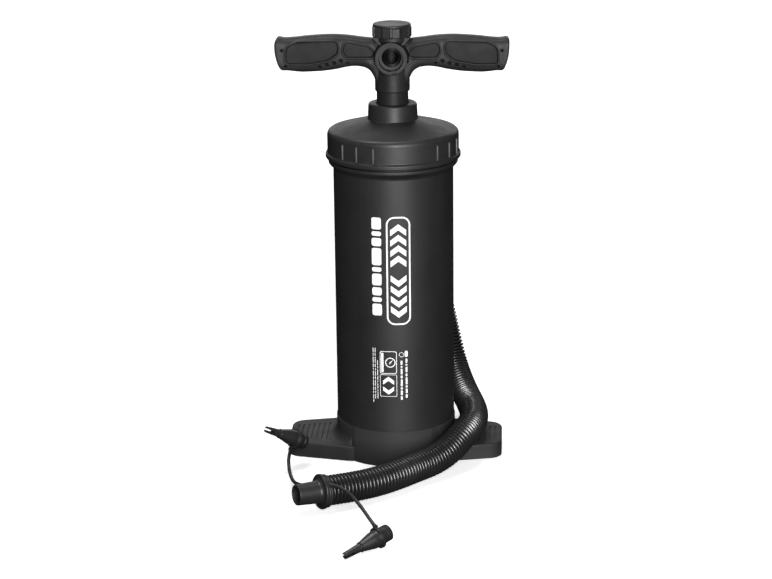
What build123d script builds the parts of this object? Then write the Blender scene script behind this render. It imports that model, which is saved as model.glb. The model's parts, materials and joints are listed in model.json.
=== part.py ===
from build123d import *
import os
from math import cos, pi, radians, tan

# Double action hand pump: a barrel on a foot plate, a piston on a hollow two-passage rod, a
# T handle with a selector knob and two bayonet ports, and a corrugated hose with its nozzles.
# Millimetres, +Z up, origin on the barrel's axis where the foot plate stands. -Y is the front.

# ---- driving dimensions ----
BORE_R = 62.5
STROKE = 228.0
BARREL_R = BORE_R + 2.5
BARREL_FLOOR = 48.5
BARREL_TOP = 356.3
FOOT_HALF_LENGTH = 118.5
FOOT_HEIGHT = 17.0
FOOT_MIDDLE = 49.5
FOOT_END = 34.2
COLLAR_R = 66.0
COLLAR_TOP = 40.3
LID_R = 71.0
LID_RIM_R = 73.0
LID_RIM_Z = 334.5
GUIDE_TOP = 392.9
ROD_R = 17.0
ROD_BORE_R = 15.0
ROD_TOP = 423.5
INNER_TUBE_R = 10.0
PORT_Z = 443.8
PORT_R = 13.5
PORT_FACE = 24.0
PORT_DEPTH = 10.0
HANDLE_REACH = 123.4
GRIP_HALF_DEPTH = 13.5
KNOB_R = 21.1
KNOB_BOTTOM = 464.8
KNOB_TOP = 478.3
HOSE_R = 16.0
STRAP_R = 1.9
FIT = 0.05

# ---- piston levels, at the bottom of the stroke ----
PLATE = 3.0
PISTON_BOTTOM = 56.5
PISTON_TOP = PISTON_BOTTOM + 24.0
PLENUM_BOTTOM = PISTON_BOTTOM + PLATE
PLENUM_TOP = PISTON_TOP - PLATE
RING_NUT_TOP = PISTON_TOP + 10.0
BUMPER_BOTTOM = RING_NUT_TOP + STROKE + 0.1
GUIDE_BOTTOM = BUMPER_BOTTOM + 8.0
INTAKE_CIRCLE = 48.0
SCREW_CIRCLE = 38.0
DUCT_X = 30.0
FOOT_SCREW_CIRCLE = 44.0
SOCKET_FLOOR = 18.0


def turn(points, plane=Plane.XZ, axis=Axis.Z, mode=Mode.ADD, rounding=None):
    """Revolve a closed outline of (radius, height) points; rounding gives one radius per corner."""
    with BuildSketch(plane) as outline:
        with BuildLine():
            if rounding is None:
                Polyline(*points, close=True)
            else:
                FilletPolyline(*points, radius=rounding, close=True)
        make_face()
    revolve(outline.sketch, axis=axis, mode=mode)


def ring(inner, outer, bottom, top):
    """The outline of a washer or tube."""
    return [(inner, bottom), (outer, bottom), (outer, top), (inner, top)]


def posts(radius, places, bottom, height, mode=Mode.ADD):
    """Upright cylinders at the given places."""
    with BuildSketch(Plane.XY.offset(bottom)) as discs:
        with places:
            Circle(radius)
    extrude(discs.sketch, amount=height, mode=mode)


def lugs(inner, outer, bottom, height):
    """Four short bayonet lugs standing on a round wall."""
    with BuildSketch(Plane.XY.offset(bottom)) as cross:
        Rectangle(2 * outer, LUG_WIDTH)
        Rectangle(LUG_WIDTH, 2 * outer)
        Circle(outer, mode=Mode.INTERSECT)
        Circle(inner, mode=Mode.SUBTRACT)
    extrude(cross.sketch, amount=height)


def along(origin, direction):
    """A sketch plane whose Y runs along a direction, and the axis to revolve about."""
    run = Vector(*direction).normalized()
    side = run.cross(Vector(0, 0, 1)).normalized()
    return Plane(origin=origin, x_dir=side, z_dir=side.cross(run)), Axis(origin, run)


def route_radii(points):
    """The largest even arc at each corner: 0.45 of the shorter run over tan(half the turn)."""
    corners = [Vector(*point) for point in points]
    radii = []
    for before, corner, after in zip(corners, corners[1:], corners[2:]):
        entering = corner - before
        leaving = after - corner
        half_turn = radians(entering.get_angle(leaving)) / 2
        radii.append(0.45 * min(entering.length, leaving.length) / tan(half_turn))
    return radii


def tube(points, radius, name):
    """A round cord along a route of straight runs joined by tangent arcs; prints its facts."""
    radii = route_radii(points)
    with BuildLine() as path:
        FilletPolyline(*points, radius=radii)
    start = Plane(origin=path.wire() @ 0, z_dir=path.wire() % 0)
    with BuildSketch(start) as section:
        Circle(radius)
    sweep(section.sketch, path=path.wire(), transition=Transition.ROUND)
    length = path.wire().length
    print(name, "length", round(length, 1), "tightest radius", round(min(radii), 1))
    print(name, "section times length", round(pi * radius**2 * length, 0))


def save(builder, name):
    """Label a finished sub-part and write it to its own file."""
    builder.part.label = name
    export_step(builder.part, f"parts/{name}.step")


os.makedirs("parts", exist_ok=True)

# ---- foot plate with the collar that carries the barrel ----
FOOT_SKIN = 3.0
UNDERSIDE = 13.0
GROOVE_DEPTH = 1.0
foot_outline = [
    (-FOOT_HALF_LENGTH, -FOOT_END),
    (-50, -FOOT_MIDDLE),
    (50, -FOOT_MIDDLE),
    (FOOT_HALF_LENGTH, -FOOT_END),
    (FOOT_HALF_LENGTH, FOOT_END),
    (50, FOOT_MIDDLE),
    (-50, FOOT_MIDDLE),
    (-FOOT_HALF_LENGTH, FOOT_END),
]
foot_rounding = [16, 8, 8, 16, 16, 8, 8, 16]
barrel_screws = PolarLocations(FOOT_SCREW_CIRCLE, 4, start_angle=45)

# the collar flares into the top of each wing
FLARE = 10.0
with BuildPart() as collar_flare:
    with BuildSketch(Plane.XZ):
        with BuildLine():
            Polyline((COLLAR_R, FOOT_HEIGHT + FLARE), (COLLAR_R - 4, FOOT_HEIGHT + FLARE))
            Polyline((COLLAR_R - 4, FOOT_HEIGHT + FLARE), (COLLAR_R - 4, 15))
            Polyline((COLLAR_R - 4, 15), (COLLAR_R + FLARE, 15), (COLLAR_R + FLARE, FOOT_HEIGHT + 0.2))
            ThreePointArc(
                (COLLAR_R + FLARE, FOOT_HEIGHT + 0.2),
                (COLLAR_R + 0.32 * FLARE, FOOT_HEIGHT + 0.32 * FLARE),
                (COLLAR_R, FOOT_HEIGHT + FLARE),
            )
        make_face()
    revolve()
    with BuildSketch():
        with BuildLine():
            FilletPolyline(*foot_outline, radius=foot_rounding, close=True)
        make_face()
        offset(amount=-2.6)
    extrude(amount=COLLAR_TOP, mode=Mode.INTERSECT)

with BuildPart() as base:
    with BuildSketch():
        with BuildLine():
            FilletPolyline(*foot_outline, radius=foot_rounding, close=True)
        make_face()
    extrude(amount=FOOT_HEIGHT)
    fillet(base.edges().group_by(Axis.Z)[-1], 2.5)
    with BuildSketch():
        Circle(COLLAR_R)
    extrude(amount=COLLAR_TOP)
    add(collar_flare.part)
    # hollow underside: a skin, a centre deck and stiffening ribs
    with BuildSketch():
        with BuildLine():
            FilletPolyline(*foot_outline, radius=foot_rounding, close=True)
        make_face()
        offset(amount=-FOOT_SKIN)
        Circle(COLLAR_R - FOOT_SKIN)
    extrude(amount=UNDERSIDE, mode=Mode.SUBTRACT)
    with BuildSketch():
        Rectangle(2 * (FOOT_HALF_LENGTH - FOOT_SKIN), 2.5)
        Rectangle(2.5, 2 * (COLLAR_R - FOOT_SKIN))
        with GridLocations(172, 0, 2, 1):
            Rectangle(2.5, 76)
    extrude(amount=UNDERSIDE)
    # socket for the barrel's skirt, and the screw holes in its floor
    with BuildSketch(Plane.XY.offset(SOCKET_FLOOR)):
        Circle(COLLAR_R - FOOT_SKIN)
    extrude(amount=COLLAR_TOP, mode=Mode.SUBTRACT)
    posts(2.3, barrel_screws, 0, SOCKET_FLOOR, Mode.SUBTRACT)
    # tread grooves across each wing
    for side in (-1, 1):
        for groove in range(7):
            with BuildSketch(Plane.XY.offset(FOOT_HEIGHT - GROOVE_DEPTH)):
                with Locations((side * (76.0 + 5.8 * groove), 0)):
                    SlotOverall(54 - 2.4 * groove, 1.8, rotation=90)
            extrude(amount=2 * GROOVE_DEPTH, mode=Mode.SUBTRACT)
save(base, "base")

# ---- four screws from below into the barrel's bosses ----
with BuildPart() as base_screws:
    posts(3.8, barrel_screws, UNDERSIDE - 3, 3)
    fillet(base_screws.edges().group_by(Axis.Z)[0], 1.2)
    posts(2.0, barrel_screws, UNDERSIDE, 22)
    with BuildSketch(Plane.XY.offset(UNDERSIDE - 3)):
        with barrel_screws:
            Rectangle(4.2, 0.9)
            Rectangle(0.9, 4.2)
    extrude(amount=1.4, mode=Mode.SUBTRACT)
save(base_screws, "base_screws")

# ---- barrel: a moulded cup with a neck for the bayonet lid ----
SKIRT_R = COLLAR_R - FOOT_SKIN - 0.2
NECK_R = 66.4
LUG_R = 68.0
LUG_WIDTH = 40.0

with BuildPart() as barrel:
    turn(
        [
            (0, BARREL_FLOOR - 4),
            (60, BARREL_FLOOR - 4),
            (60, 30),
            (SKIRT_R, 30),
            (SKIRT_R, COLLAR_TOP),
            (BARREL_R, COLLAR_TOP),
            (BARREL_R, 323.3),
            (70, 328.8),
            (70, 332.3),
            (NECK_R, 332.3),
            (NECK_R, BARREL_TOP),
            (BORE_R, BARREL_TOP),
            (BORE_R, BARREL_FLOOR),
            (0, BARREL_FLOOR),
        ],
        rounding=[0, 0, 0, 0, 0, 0, 4, 1.5, 1.0, 0, 0.6, 0.6, 0, 0],
    )
    posts(5, barrel_screws, SOCKET_FLOOR, BARREL_FLOOR - 4 - SOCKET_FLOOR)
    posts(2.05, barrel_screws, SOCKET_FLOOR, 20, Mode.SUBTRACT)
    lugs(NECK_R - 0.5, LUG_R, 340, 4)
save(barrel, "barrel")

# ---- lid with the rod guide's collar, a rolled rim and four groups of grip ribs ----
GUIDE_BORE_R = 21.5
RIB_GROUPS = 4
RIBS_PER_GROUP = 3
RIB_SPACING = 15.8
FIRST_GROUP = -30.0

with BuildPart() as lid:
    turn(
        [
            (ROD_R + 0.6, GUIDE_TOP),
            (26.1, GUIDE_TOP),
            (27, 375.6),
            (LID_R, 363.5),
            (LID_R, 340.5),
            (LID_RIM_R, 338.8),
            (LID_RIM_R, LID_RIM_Z),
            (68.6, LID_RIM_Z),
            (68.6, BARREL_TOP + 2.3),
            (60, BARREL_TOP + 2.3),
            (60, 362.5),
            (26, 371.5),
            (26, GUIDE_BOTTOM),
            (GUIDE_BORE_R, GUIDE_BOTTOM),
            (GUIDE_BORE_R, GUIDE_TOP - 3.5),
            (ROD_R + 0.6, GUIDE_TOP - 3.5),
        ],
        rounding=[0.6, 2.5, 1.2, 5.5, 1.0, 1.5, 1.2, 0.4, 0, 0, 0, 2, 1, 0, 0, 0],
    )
    # lugs inside the rim, under the barrel's own
    lugs(NECK_R + 0.5, 68.8, LID_RIM_Z + 0.6, 4)
    # grip ribs: thin upright bars, in groups of three
    for group in range(RIB_GROUPS):
        for rib in range(RIBS_PER_GROUP):
            turned = FIRST_GROUP - 90 + 90 * group + RIB_SPACING * (rib - 1)
            with BuildSketch(Plane.XY.offset(341.0)):
                with PolarLocations(LID_R, 1, start_angle=turned):
                    Rectangle(2.0, 1.8)
            extrude(amount=16.0)
save(lid, "lid")

# ---- lid gasket, guide bush, rod wiper and the two stroke bumpers ----
with BuildPart() as lid_gasket:
    turn(ring(BORE_R + 0.3, NECK_R - 0.2, BARREL_TOP, BARREL_TOP + 2.3))
save(lid_gasket, "lid_gasket")

with BuildPart() as guide_bush:
    turn(ring(ROD_R + FIT, GUIDE_BORE_R - 0.05, GUIDE_BOTTOM + 14, GUIDE_TOP - 3.6))
save(guide_bush, "guide_bush")

with BuildPart() as rod_seal:
    turn(
        [
            (ROD_R + FIT, GUIDE_BOTTOM + 8.0),
            (ROD_R + 1.6, GUIDE_BOTTOM + 6.0),
            (GUIDE_BORE_R - 0.05, GUIDE_BOTTOM + 6.0),
            (GUIDE_BORE_R - 0.05, GUIDE_BOTTOM + 13.9),
            (ROD_R + FIT, GUIDE_BOTTOM + 13.9),
        ]
    )
save(rod_seal, "rod_seal")

with BuildPart() as seal_retainer:
    turn(ring(ROD_R + 1.0, GUIDE_BORE_R - 0.05, GUIDE_BOTTOM, GUIDE_BOTTOM + 5.9))
save(seal_retainer, "seal_retainer")

with BuildPart() as upper_bumper:
    turn(
        ring(ROD_R + 1.2, 25.5, BUMPER_BOTTOM, GUIDE_BOTTOM),
        rounding=[1.5, 1.5, 0, 0],
    )
save(upper_bumper, "upper_bumper")

with BuildPart() as lower_bumper:
    turn(
        ring(22, 32, BARREL_FLOOR, PISTON_BOTTOM - 0.1),
        rounding=[0, 0, 2, 2],
    )
save(lower_bumper, "lower_bumper")

# ---- piston: two plates with a ring seal between them, and the valve chambers inside ----
PISTON_R = 59.5
SEAL_SEAT_R = 56.0
CHIMNEY_R = 9.0
INTAKE_HOLE_R = 2.5
OUTLET_HOLE_R = 1.6
PLENUM = PLENUM_TOP - PLENUM_BOTTOM
intake_holes = PolarLocations(INTAKE_CIRCLE, 16)
plate_screws = PolarLocations(SCREW_CIRCLE, 6, start_angle=30)

with BuildPart() as piston_lower_plate:
    turn(ring(0, PISTON_R, PISTON_BOTTOM, PLENUM_BOTTOM))
    turn(ring(SEAL_SEAT_R - 3, SEAL_SEAT_R, PLENUM_BOTTOM, PLENUM_TOP))
    posts(4, plate_screws, PLENUM_BOTTOM, PLENUM)
    posts(2.05, plate_screws, PLENUM_BOTTOM + 2, PLENUM, Mode.SUBTRACT)
    posts(INTAKE_HOLE_R, intake_holes, PISTON_BOTTOM, PLATE, Mode.SUBTRACT)
    posts(OUTLET_HOLE_R, PolarLocations(4, 5), PISTON_BOTTOM, PLATE, Mode.SUBTRACT)
save(piston_lower_plate, "piston_lower_plate")

with BuildPart() as piston_upper_plate:
    turn(ring(ROD_R + FIT, PISTON_R, PLENUM_TOP, PISTON_TOP))
    posts(2.1, plate_screws, PLENUM_TOP, PLATE, Mode.SUBTRACT)
    posts(INTAKE_HOLE_R, intake_holes, PLENUM_TOP, PLATE, Mode.SUBTRACT)
    with BuildSketch(Plane.XY.offset(PLENUM_TOP)):
        with Locations((DUCT_X, 0)):
            with PolarLocations(4, 5):
                Circle(OUTLET_HOLE_R)
    extrude(amount=PLATE, mode=Mode.SUBTRACT)
save(piston_upper_plate, "piston_upper_plate")

# manifold between the plates: a pressure chamber under the inner tube, and the duct that
# brings the upper side's air to it
with BuildPart() as piston_manifold:
    turn(ring(9.2, 14, PLENUM_BOTTOM, PLENUM_BOTTOM + 10))
    with BuildSketch(Plane.XY.offset(PLENUM_BOTTOM)):
        with Locations((20, 0)):
            Rectangle(20, 14)
    extrude(amount=9)
    posts(CHIMNEY_R + 1.8, Locations((DUCT_X, 0)), PLENUM_BOTTOM, PLENUM)
    posts(CHIMNEY_R, Locations((DUCT_X, 0)), PLENUM_BOTTOM + 2, PLENUM, Mode.SUBTRACT)
    with BuildSketch(Plane.XY.offset(PLENUM_BOTTOM + 2)):
        with Locations((17, 0)):
            Rectangle(26, 9)
    extrude(amount=5, mode=Mode.SUBTRACT)
    turn(ring(0, 9.2, PLENUM_BOTTOM, PLENUM_BOTTOM + 5), mode=Mode.SUBTRACT)
    turn(ring(0, INNER_TUBE_R + FIT, PLENUM_BOTTOM + 5, PLENUM_TOP), mode=Mode.SUBTRACT)
save(piston_manifold, "piston_manifold")

with BuildPart() as piston_seal:
    turn(
        [
            (SEAL_SEAT_R, PLENUM_BOTTOM),
            (PISTON_R - 1, PLENUM_BOTTOM),
            (BORE_R - 0.08, PLENUM_BOTTOM + 3),
            (BORE_R - 0.08, PLENUM_BOTTOM + 5),
            (PISTON_R, PLENUM_BOTTOM + 7),
            (PISTON_R, PLENUM_TOP - 7),
            (BORE_R - 0.08, PLENUM_TOP - 5),
            (BORE_R - 0.08, PLENUM_TOP - 3),
            (PISTON_R - 1, PLENUM_TOP),
            (SEAL_SEAT_R, PLENUM_TOP),
        ]
    )
save(piston_seal, "piston_seal")

with BuildPart() as piston_screws:
    posts(3.5, plate_screws, PISTON_TOP, 2.4)
    fillet(piston_screws.edges().group_by(Axis.Z)[-1], 1.0)
    posts(2.0, plate_screws, PISTON_TOP - 14, 14)
    with BuildSketch(Plane.XY.offset(PISTON_TOP + 1.2)):
        with plate_screws:
            Rectangle(4, 0.8)
            Rectangle(0.8, 4)
    extrude(amount=2, mode=Mode.SUBTRACT)
save(piston_screws, "piston_screws")

# ---- four check valves: rubber discs that lift 2 mm off their seats ----
SEAT_GAP = 0.1
DISC = 1.5

with BuildPart() as lower_intake_valve:
    turn(ring(44, 52, PISTON_BOTTOM - SEAT_GAP - DISC, PISTON_BOTTOM - SEAT_GAP))
save(lower_intake_valve, "lower_intake_valve")

with BuildPart() as upper_intake_valve:
    turn(ring(44, 52, PISTON_TOP + SEAT_GAP, PISTON_TOP + SEAT_GAP + DISC))
save(upper_intake_valve, "upper_intake_valve")

with BuildPart() as lower_outlet_valve:
    turn(ring(0, 7.5, PLENUM_BOTTOM + SEAT_GAP, PLENUM_BOTTOM + SEAT_GAP + DISC))
save(lower_outlet_valve, "lower_outlet_valve")

with BuildPart() as upper_outlet_valve:
    posts(7.5, Locations((DUCT_X, 0)), PLENUM_TOP - SEAT_GAP - DISC, DISC)
save(upper_outlet_valve, "upper_outlet_valve")

# ---- rod: two concentric tubes, suction in the ring between them, pressure in the middle ----
with BuildPart() as rod_outer_tube:
    turn(ring(ROD_BORE_R, ROD_R, PLENUM_TOP - 3, ROD_TOP))
    turn(ring(ROD_BORE_R, ROD_R + 2.0, PLENUM_TOP - 3, PLENUM_TOP))
save(rod_outer_tube, "rod_outer_tube")

with BuildPart() as rod_inner_tube:
    turn(ring(INNER_TUBE_R - 1.5, INNER_TUBE_R, PLENUM_BOTTOM + 5, ROD_TOP + 5))
save(rod_inner_tube, "rod_inner_tube")

with BuildPart() as rod_ring_nut:
    turn(ring(ROD_R + FIT, 23, PISTON_TOP, RING_NUT_TOP), rounding=[0, 0, 1.2, 0.6])
    posts(2.2, PolarLocations(23, 6), PISTON_TOP + 3, 10, Mode.SUBTRACT)
save(rod_ring_nut, "rod_ring_nut")

# ---- handle hub: neck over the rod, selector bore, and a bayonet port front and rear ----
SLEEVE_BOTTOM = 405.8
SELECTOR_R = 12.0
SELECTOR_BOTTOM = ROD_TOP + 6.0
PORT_RING_R = 17.5
SLOT_WIDTH = 5.2
THROAT_R = 10.5
THROAT_START = 6.0

CORE_R = 15.5
SHOULDER_HALF_DEPTH = 12.4
SHOULDER_TOP = 464.6
hub_core = [
    (0, SLEEVE_BOTTOM),
    (18.7, SLEEVE_BOTTOM),
    (18.7, 431),
    (CORE_R, 436),
    (CORE_R, 457),
    (18.4, 461),
    (18.4, SHOULDER_TOP),
    (0, SHOULDER_TOP),
]
shoulder_outline = [(-20.2, SHOULDER_TOP), (-12.6, 456.6), (12.6, 456.6), (20.2, SHOULDER_TOP)]

with BuildPart() as handle_hub:
    turn(hub_core, rounding=[0, 1.8, 3, 3, 3, 1, 0.8, 0])
    # recessed shoulder between the grips, under the knob
    with BuildSketch(Plane.XZ):
        with BuildLine():
            Polyline(*shoulder_outline, close=True)
        make_face()
    extrude(amount=SHOULDER_HALF_DEPTH, both=True)
    with BuildSketch(Plane.XZ):
        with Locations((0, PORT_Z)):
            Circle(PORT_RING_R)
    extrude(amount=PORT_FACE, both=True)
    fillet(handle_hub.edges().group_by(Axis.Y)[0] + handle_hub.edges().group_by(Axis.Y)[-1], 1.0)
    # tongues that the two grips slide over
    with BuildSketch(Plane.XY.offset(439)):
        Rectangle(80, 9)
    extrude(amount=18)
    # sockets for the rod's two tubes, then the selector's bore
    turn(ring(0, ROD_R + FIT, SLEEVE_BOTTOM - 1, ROD_TOP), mode=Mode.SUBTRACT)
    turn(ring(0, INNER_TUBE_R + FIT, ROD_TOP, SELECTOR_BOTTOM), mode=Mode.SUBTRACT)
    turn(ring(0, SELECTOR_R + FIT, SELECTOR_BOTTOM - 0.2, 470), mode=Mode.SUBTRACT)
    for face in (-1, 1):
        mouth = Plane(origin=(0, face * PORT_FACE, PORT_Z), x_dir=(1, 0, 0), z_dir=(0, face, 0))
        with BuildSketch(mouth.offset(-PORT_DEPTH)):
            Circle(PORT_R)
        extrude(amount=2 * PORT_DEPTH, mode=Mode.SUBTRACT)
        with BuildSketch(mouth.offset(-4)):
            with Locations((-2.7, PORT_R - 0.3), (2.7, 0.3 - PORT_R)):
                Rectangle(SLOT_WIDTH, 6)
        extrude(amount=8, mode=Mode.SUBTRACT)
        # a fine groove round the face of the ring
        with BuildSketch(mouth.offset(-0.6)):
            Circle(PORT_RING_R - 1.7)
            Circle(PORT_RING_R - 2.2, mode=Mode.SUBTRACT)
        extrude(amount=2, mode=Mode.SUBTRACT)
        # throat between the port and the selector's bore
        with BuildSketch(mouth.offset(-PORT_FACE + THROAT_START)):
            Circle(THROAT_R)
        extrude(amount=PORT_DEPTH, mode=Mode.SUBTRACT)
save(handle_hub, "handle_hub")

# ---- grips: one each side of the hub, with recessed panels front and rear ----
PANEL_DEPTH = 2.5
# stations along the grip: distance from the axis, lower and upper edge, half depth
grip_stations = [
    (13, 419.0, 460.8, 12.6),
    (19, 423.5, 462.0, 12.7),
    (26, 430.0, 462.6, 12.8),
    (34, 432.6, 463.5, 13.2),
    (46, 432.8, 464.9, GRIP_HALF_DEPTH),
    (62, 430.0, 466.2, GRIP_HALF_DEPTH),
    (82, 427.2, 465.3, GRIP_HALF_DEPTH),
    (100, 426.2, 463.7, GRIP_HALF_DEPTH),
    (112, 426.6, 463.0, GRIP_HALF_DEPTH),
    (120.5, 429.0, 463.4, GRIP_HALF_DEPTH),
]


# what the hub takes from the grips: its neck and core, and the shoulder above the ports
grip_clearance = [
    (0, 400),
    (18.7, 400),
    (18.7, 432.5),
    (16.2, 437.5),
    (16.2, 455.5),
    (18.9, 460),
    (18.9, 470),
    (0, 470),
]
shoulder_clearance = [
    (-21.6, 466),
    (-13.0, 456.6),
    (13.0, 456.6),
    (21.6, 466),
    (21.6, 470),
    (-21.6, 470),
]
# recessed panels, seen from the front: the large outer one and the small one beside the hub
large_panel = [
    (55.5, 461.2),
    (57.5, 447.5),
    (68.0, 440.0),
    (90.0, 436.3),
    (113.4, 436.6),
    (112.5, 454.5),
    (101.0, 460.2),
]
large_rounding = [6, 7, 20, 30, 4.5, 8, 14]
small_panel = [(17.6, 449.5), (25, 455.6), (50, 460.6), (52.2, 450), (47.5, 443.4), (20, 443.4)]
small_rounding = [3.5, 8, 5.5, 6, 4.5, 3.5]
small_dimples = [(117.0, 451.2), (113.4, 434.0), (46.8, 437.6)]
large_dimples = [(76.8, 433.6), (69.1, 435.8), (61.5, 437.7), (54.1, 440.1)]


def grip_section(distance, lower, upper, half_depth, radius):
    """One rounded section across the grip."""
    centre = (distance, 0, (lower + upper) / 2)
    with BuildSketch(Plane(origin=centre, x_dir=(0, 1, 0), z_dir=(1, 0, 0))) as section:
        RectangleRounded(2 * half_depth, upper - lower, radius)
    return section.sketch


def grip(side):
    """One hand grip, on the side given by the sign."""
    with BuildPart() as one_grip:
        loft([grip_section(*station, 8.5) for station in grip_stations])
        shoulder = grip_section(*grip_stations[-1], 8.5)
        tip = grip_section(HANDLE_REACH, 434, 460, GRIP_HALF_DEPTH - 3.5, 6.5)
        loft([shoulder, tip])
        for face in (-1, 1):
            panel = Plane(origin=(0, face * GRIP_HALF_DEPTH, 0), x_dir=(1, 0, 0), z_dir=(0, -1, 0))
            with BuildSketch(panel.offset(face * PANEL_DEPTH)):
                with BuildLine():
                    FilletPolyline(*large_panel, radius=large_rounding, close=True)
                make_face()
                with BuildLine():
                    FilletPolyline(*small_panel, radius=small_rounding, close=True)
                make_face()
            extrude(amount=-face * 2 * PANEL_DEPTH, mode=Mode.SUBTRACT)
            with BuildSketch(panel.offset(face * 5)):
                with Locations(*small_dimples):
                    Circle(1.4)
                with Locations(*large_dimples):
                    Circle(1.9)
            extrude(amount=-face * 8, mode=Mode.SUBTRACT)
        # clearance for the hub, its shoulder, its port rings and its tongue
        widened = [(radius + FIT * (radius > 0), level) for radius, level in grip_clearance]
        turn(widened, mode=Mode.SUBTRACT)
        with BuildSketch(Plane.XZ):
            with BuildLine():
                Polyline(*shoulder_clearance, close=True)
            make_face()
            with Locations((0, PORT_Z)):
                Circle(PORT_RING_R + FIT)
        extrude(amount=PORT_FACE + 2, both=True, mode=Mode.SUBTRACT)
        with BuildSketch(Plane.XY.offset(438.9)):
            Rectangle(80.4, 9.1)
        extrude(amount=18.2, mode=Mode.SUBTRACT)
        # hole for the screw that holds the grip to the tongue, from the rear
        with BuildSketch(Plane.XZ.offset(-GRIP_HALF_DEPTH - 1)):
            with Locations((34, 448)):
                Circle(2.2)
        extrude(amount=11, mode=Mode.SUBTRACT)
        if side < 0:
            mirror(about=Plane.YZ, mode=Mode.REPLACE)
    return one_grip


grip_right = grip(1)
save(grip_right, "grip_right")
grip_left = grip(-1)
save(grip_left, "grip_left")

with BuildPart() as grip_screws:
    with BuildSketch(Plane.XZ.offset(-4.5)):
        with Locations((-34, 448), (34, 448)):
            Circle(2.0)
    extrude(amount=-6.4)
save(grip_screws, "grip_screws")

# ---- selector: a ported spool in the hub, turned by the knob on top ----
SPOOL_WINDOW_R = 7.5
with BuildPart() as selector_spool:
    turn(ring(0, SELECTOR_R, SELECTOR_BOTTOM, 463), rounding=[0, 0.5, 0.8, 0])
    turn(ring(0, 8, 462, KNOB_BOTTOM + 6))
    turn(ring(0, 8.5, SELECTOR_BOTTOM - 1, 450), mode=Mode.SUBTRACT)
    with BuildSketch(Plane.XZ):
        with Locations((0, PORT_Z)):
            Circle(SPOOL_WINDOW_R)
    extrude(amount=20, mode=Mode.SUBTRACT)
    for level in (453.5, 458.5):
        turn(ring(SELECTOR_R - 1.5, SELECTOR_R + 1, level, level + 2), mode=Mode.SUBTRACT)
save(selector_spool, "selector_spool")

with BuildPart() as spool_seals:
    for level in (453.5, 458.5):
        turn(ring(SELECTOR_R - 1.5, SELECTOR_R, level, level + 2))
save(spool_seals, "spool_seals")

KNOB_LOBES = 12
KNOB_FLAT = 20.7
knob_grooves = PolarLocations(KNOB_R, KNOB_LOBES)
with BuildPart() as selector_knob:
    turn(
        ring(0, KNOB_R, KNOB_BOTTOM, KNOB_TOP),
        rounding=[0, 1.0, 2.4, 0],
    )
    with BuildSketch(Plane.XY.offset(KNOB_BOTTOM)):
        RegularPolygon(KNOB_FLAT / cos(pi / KNOB_LOBES), KNOB_LOBES)
    extrude(amount=KNOB_TOP - KNOB_BOTTOM, mode=Mode.INTERSECT)
    # finger grooves at the corners, under a closed top
    with BuildSketch(Plane.XY.offset(KNOB_BOTTOM - 1)):
        with knob_grooves:
            Rectangle(3.2, 3.8)
    extrude(amount=KNOB_TOP - KNOB_BOTTOM - 1.2, mode=Mode.SUBTRACT)
    turn(ring(0, 8.05, KNOB_BOTTOM - 1, KNOB_BOTTOM + 6), mode=Mode.SUBTRACT)
save(selector_knob, "selector_knob")

# ---- hose connector: bayonet plug in the rear port, with a ribbed cuff for the hose ----
CUFF_END = 44.0
rear_plane, rear_axis = along((0, 0, PORT_Z), (0, 1, 0))

with BuildPart() as hose_connector:
    turn(
        [
            (7, PORT_FACE - PORT_DEPTH + 0.5),
            (PORT_R - FIT, PORT_FACE - PORT_DEPTH + 0.5),
            (PORT_R - FIT, PORT_FACE + 0.1),
            (19, PORT_FACE + 0.1),
            (19, PORT_FACE + 4),
            (17.8, PORT_FACE + 6),
            (17.2, CUFF_END),
            (7, CUFF_END),
        ],
        plane=rear_plane,
        axis=rear_axis,
        rounding=[0, 0.8, 0, 1, 1, 1, 0.8, 0],
    )
    for band in (31, 34.5, 38):
        turn(
            ring(16.5, 20, band, band + 1.4),
            plane=rear_plane,
            axis=rear_axis,
            mode=Mode.SUBTRACT,
        )
save(hose_connector, "hose_connector")

# ---- hose: down behind the barrel, over the right wing, and along the floor in front ----
hose_route = [
    (0, CUFF_END + 0.2, PORT_Z),
    (0, 82, 443.8),
    (-4.5, 115, 425),
    (-7.5, 134, 392),
    (-7, 134.5, 350),
    (4, 130, 288),
    (22.7, 124.5, 228),
    (36, 119, 173),
    (47.3, 115, 126),
    (55.5, 110, 90),
    (63.5, 96.9, 60),
    (74.5, 71, 41),
    (83.8, 42, 34.2),
    (88, 9, 33.8),
    (85.5, -22, 34.4),
    (76.5, -51, 33),
    (62, -74, 23),
    (44, -93, 17.2),
    (26.5, -109.4, 16.3),
    (6.9, -132.6, 16.3),
    (-15.5, -153.9, 16.3),
    (-40.5, -171.1, 17.3),
    (-63.5, -185.1, 18.9),
]

with BuildPart() as hose:
    tube(hose_route, HOSE_R, "hose")
save(hose, "hose")

# ---- adapter on the hose's free end: a stub tube with a flange, and the tethers' rings ----
hose_end = Vector(-63.5, -185.1, 18.9)
adapter_run = Vector(-23.0, -14.0, 1.6).normalized()
adapter_plane, adapter_axis = along(hose_end, adapter_run)
STUB_END = 35.0
STUB_BORE_R = 8.6
CUFF_R = 14.5
RING_R = 17.6

with BuildPart() as hose_adapter:
    turn(
        [
            (STUB_BORE_R, 0),
            (CUFF_R, 0),
            (CUFF_R, 4.5),
            (18.6, 4.5),
            (18.6, 8),
            (11.8, 8),
            (10.8, STUB_END),
            (STUB_BORE_R, STUB_END),
        ],
        plane=adapter_plane,
        axis=adapter_axis,
        rounding=[0, 0, 0, 0.8, 1.2, 4.0, 0.8, 0.5],
    )
save(hose_adapter, "hose_adapter")

with BuildPart() as tether_ring_left:
    turn(ring(CUFF_R, RING_R, 0.2, 2.2), plane=adapter_plane, axis=adapter_axis)
save(tether_ring_left, "tether_ring_left")

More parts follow.
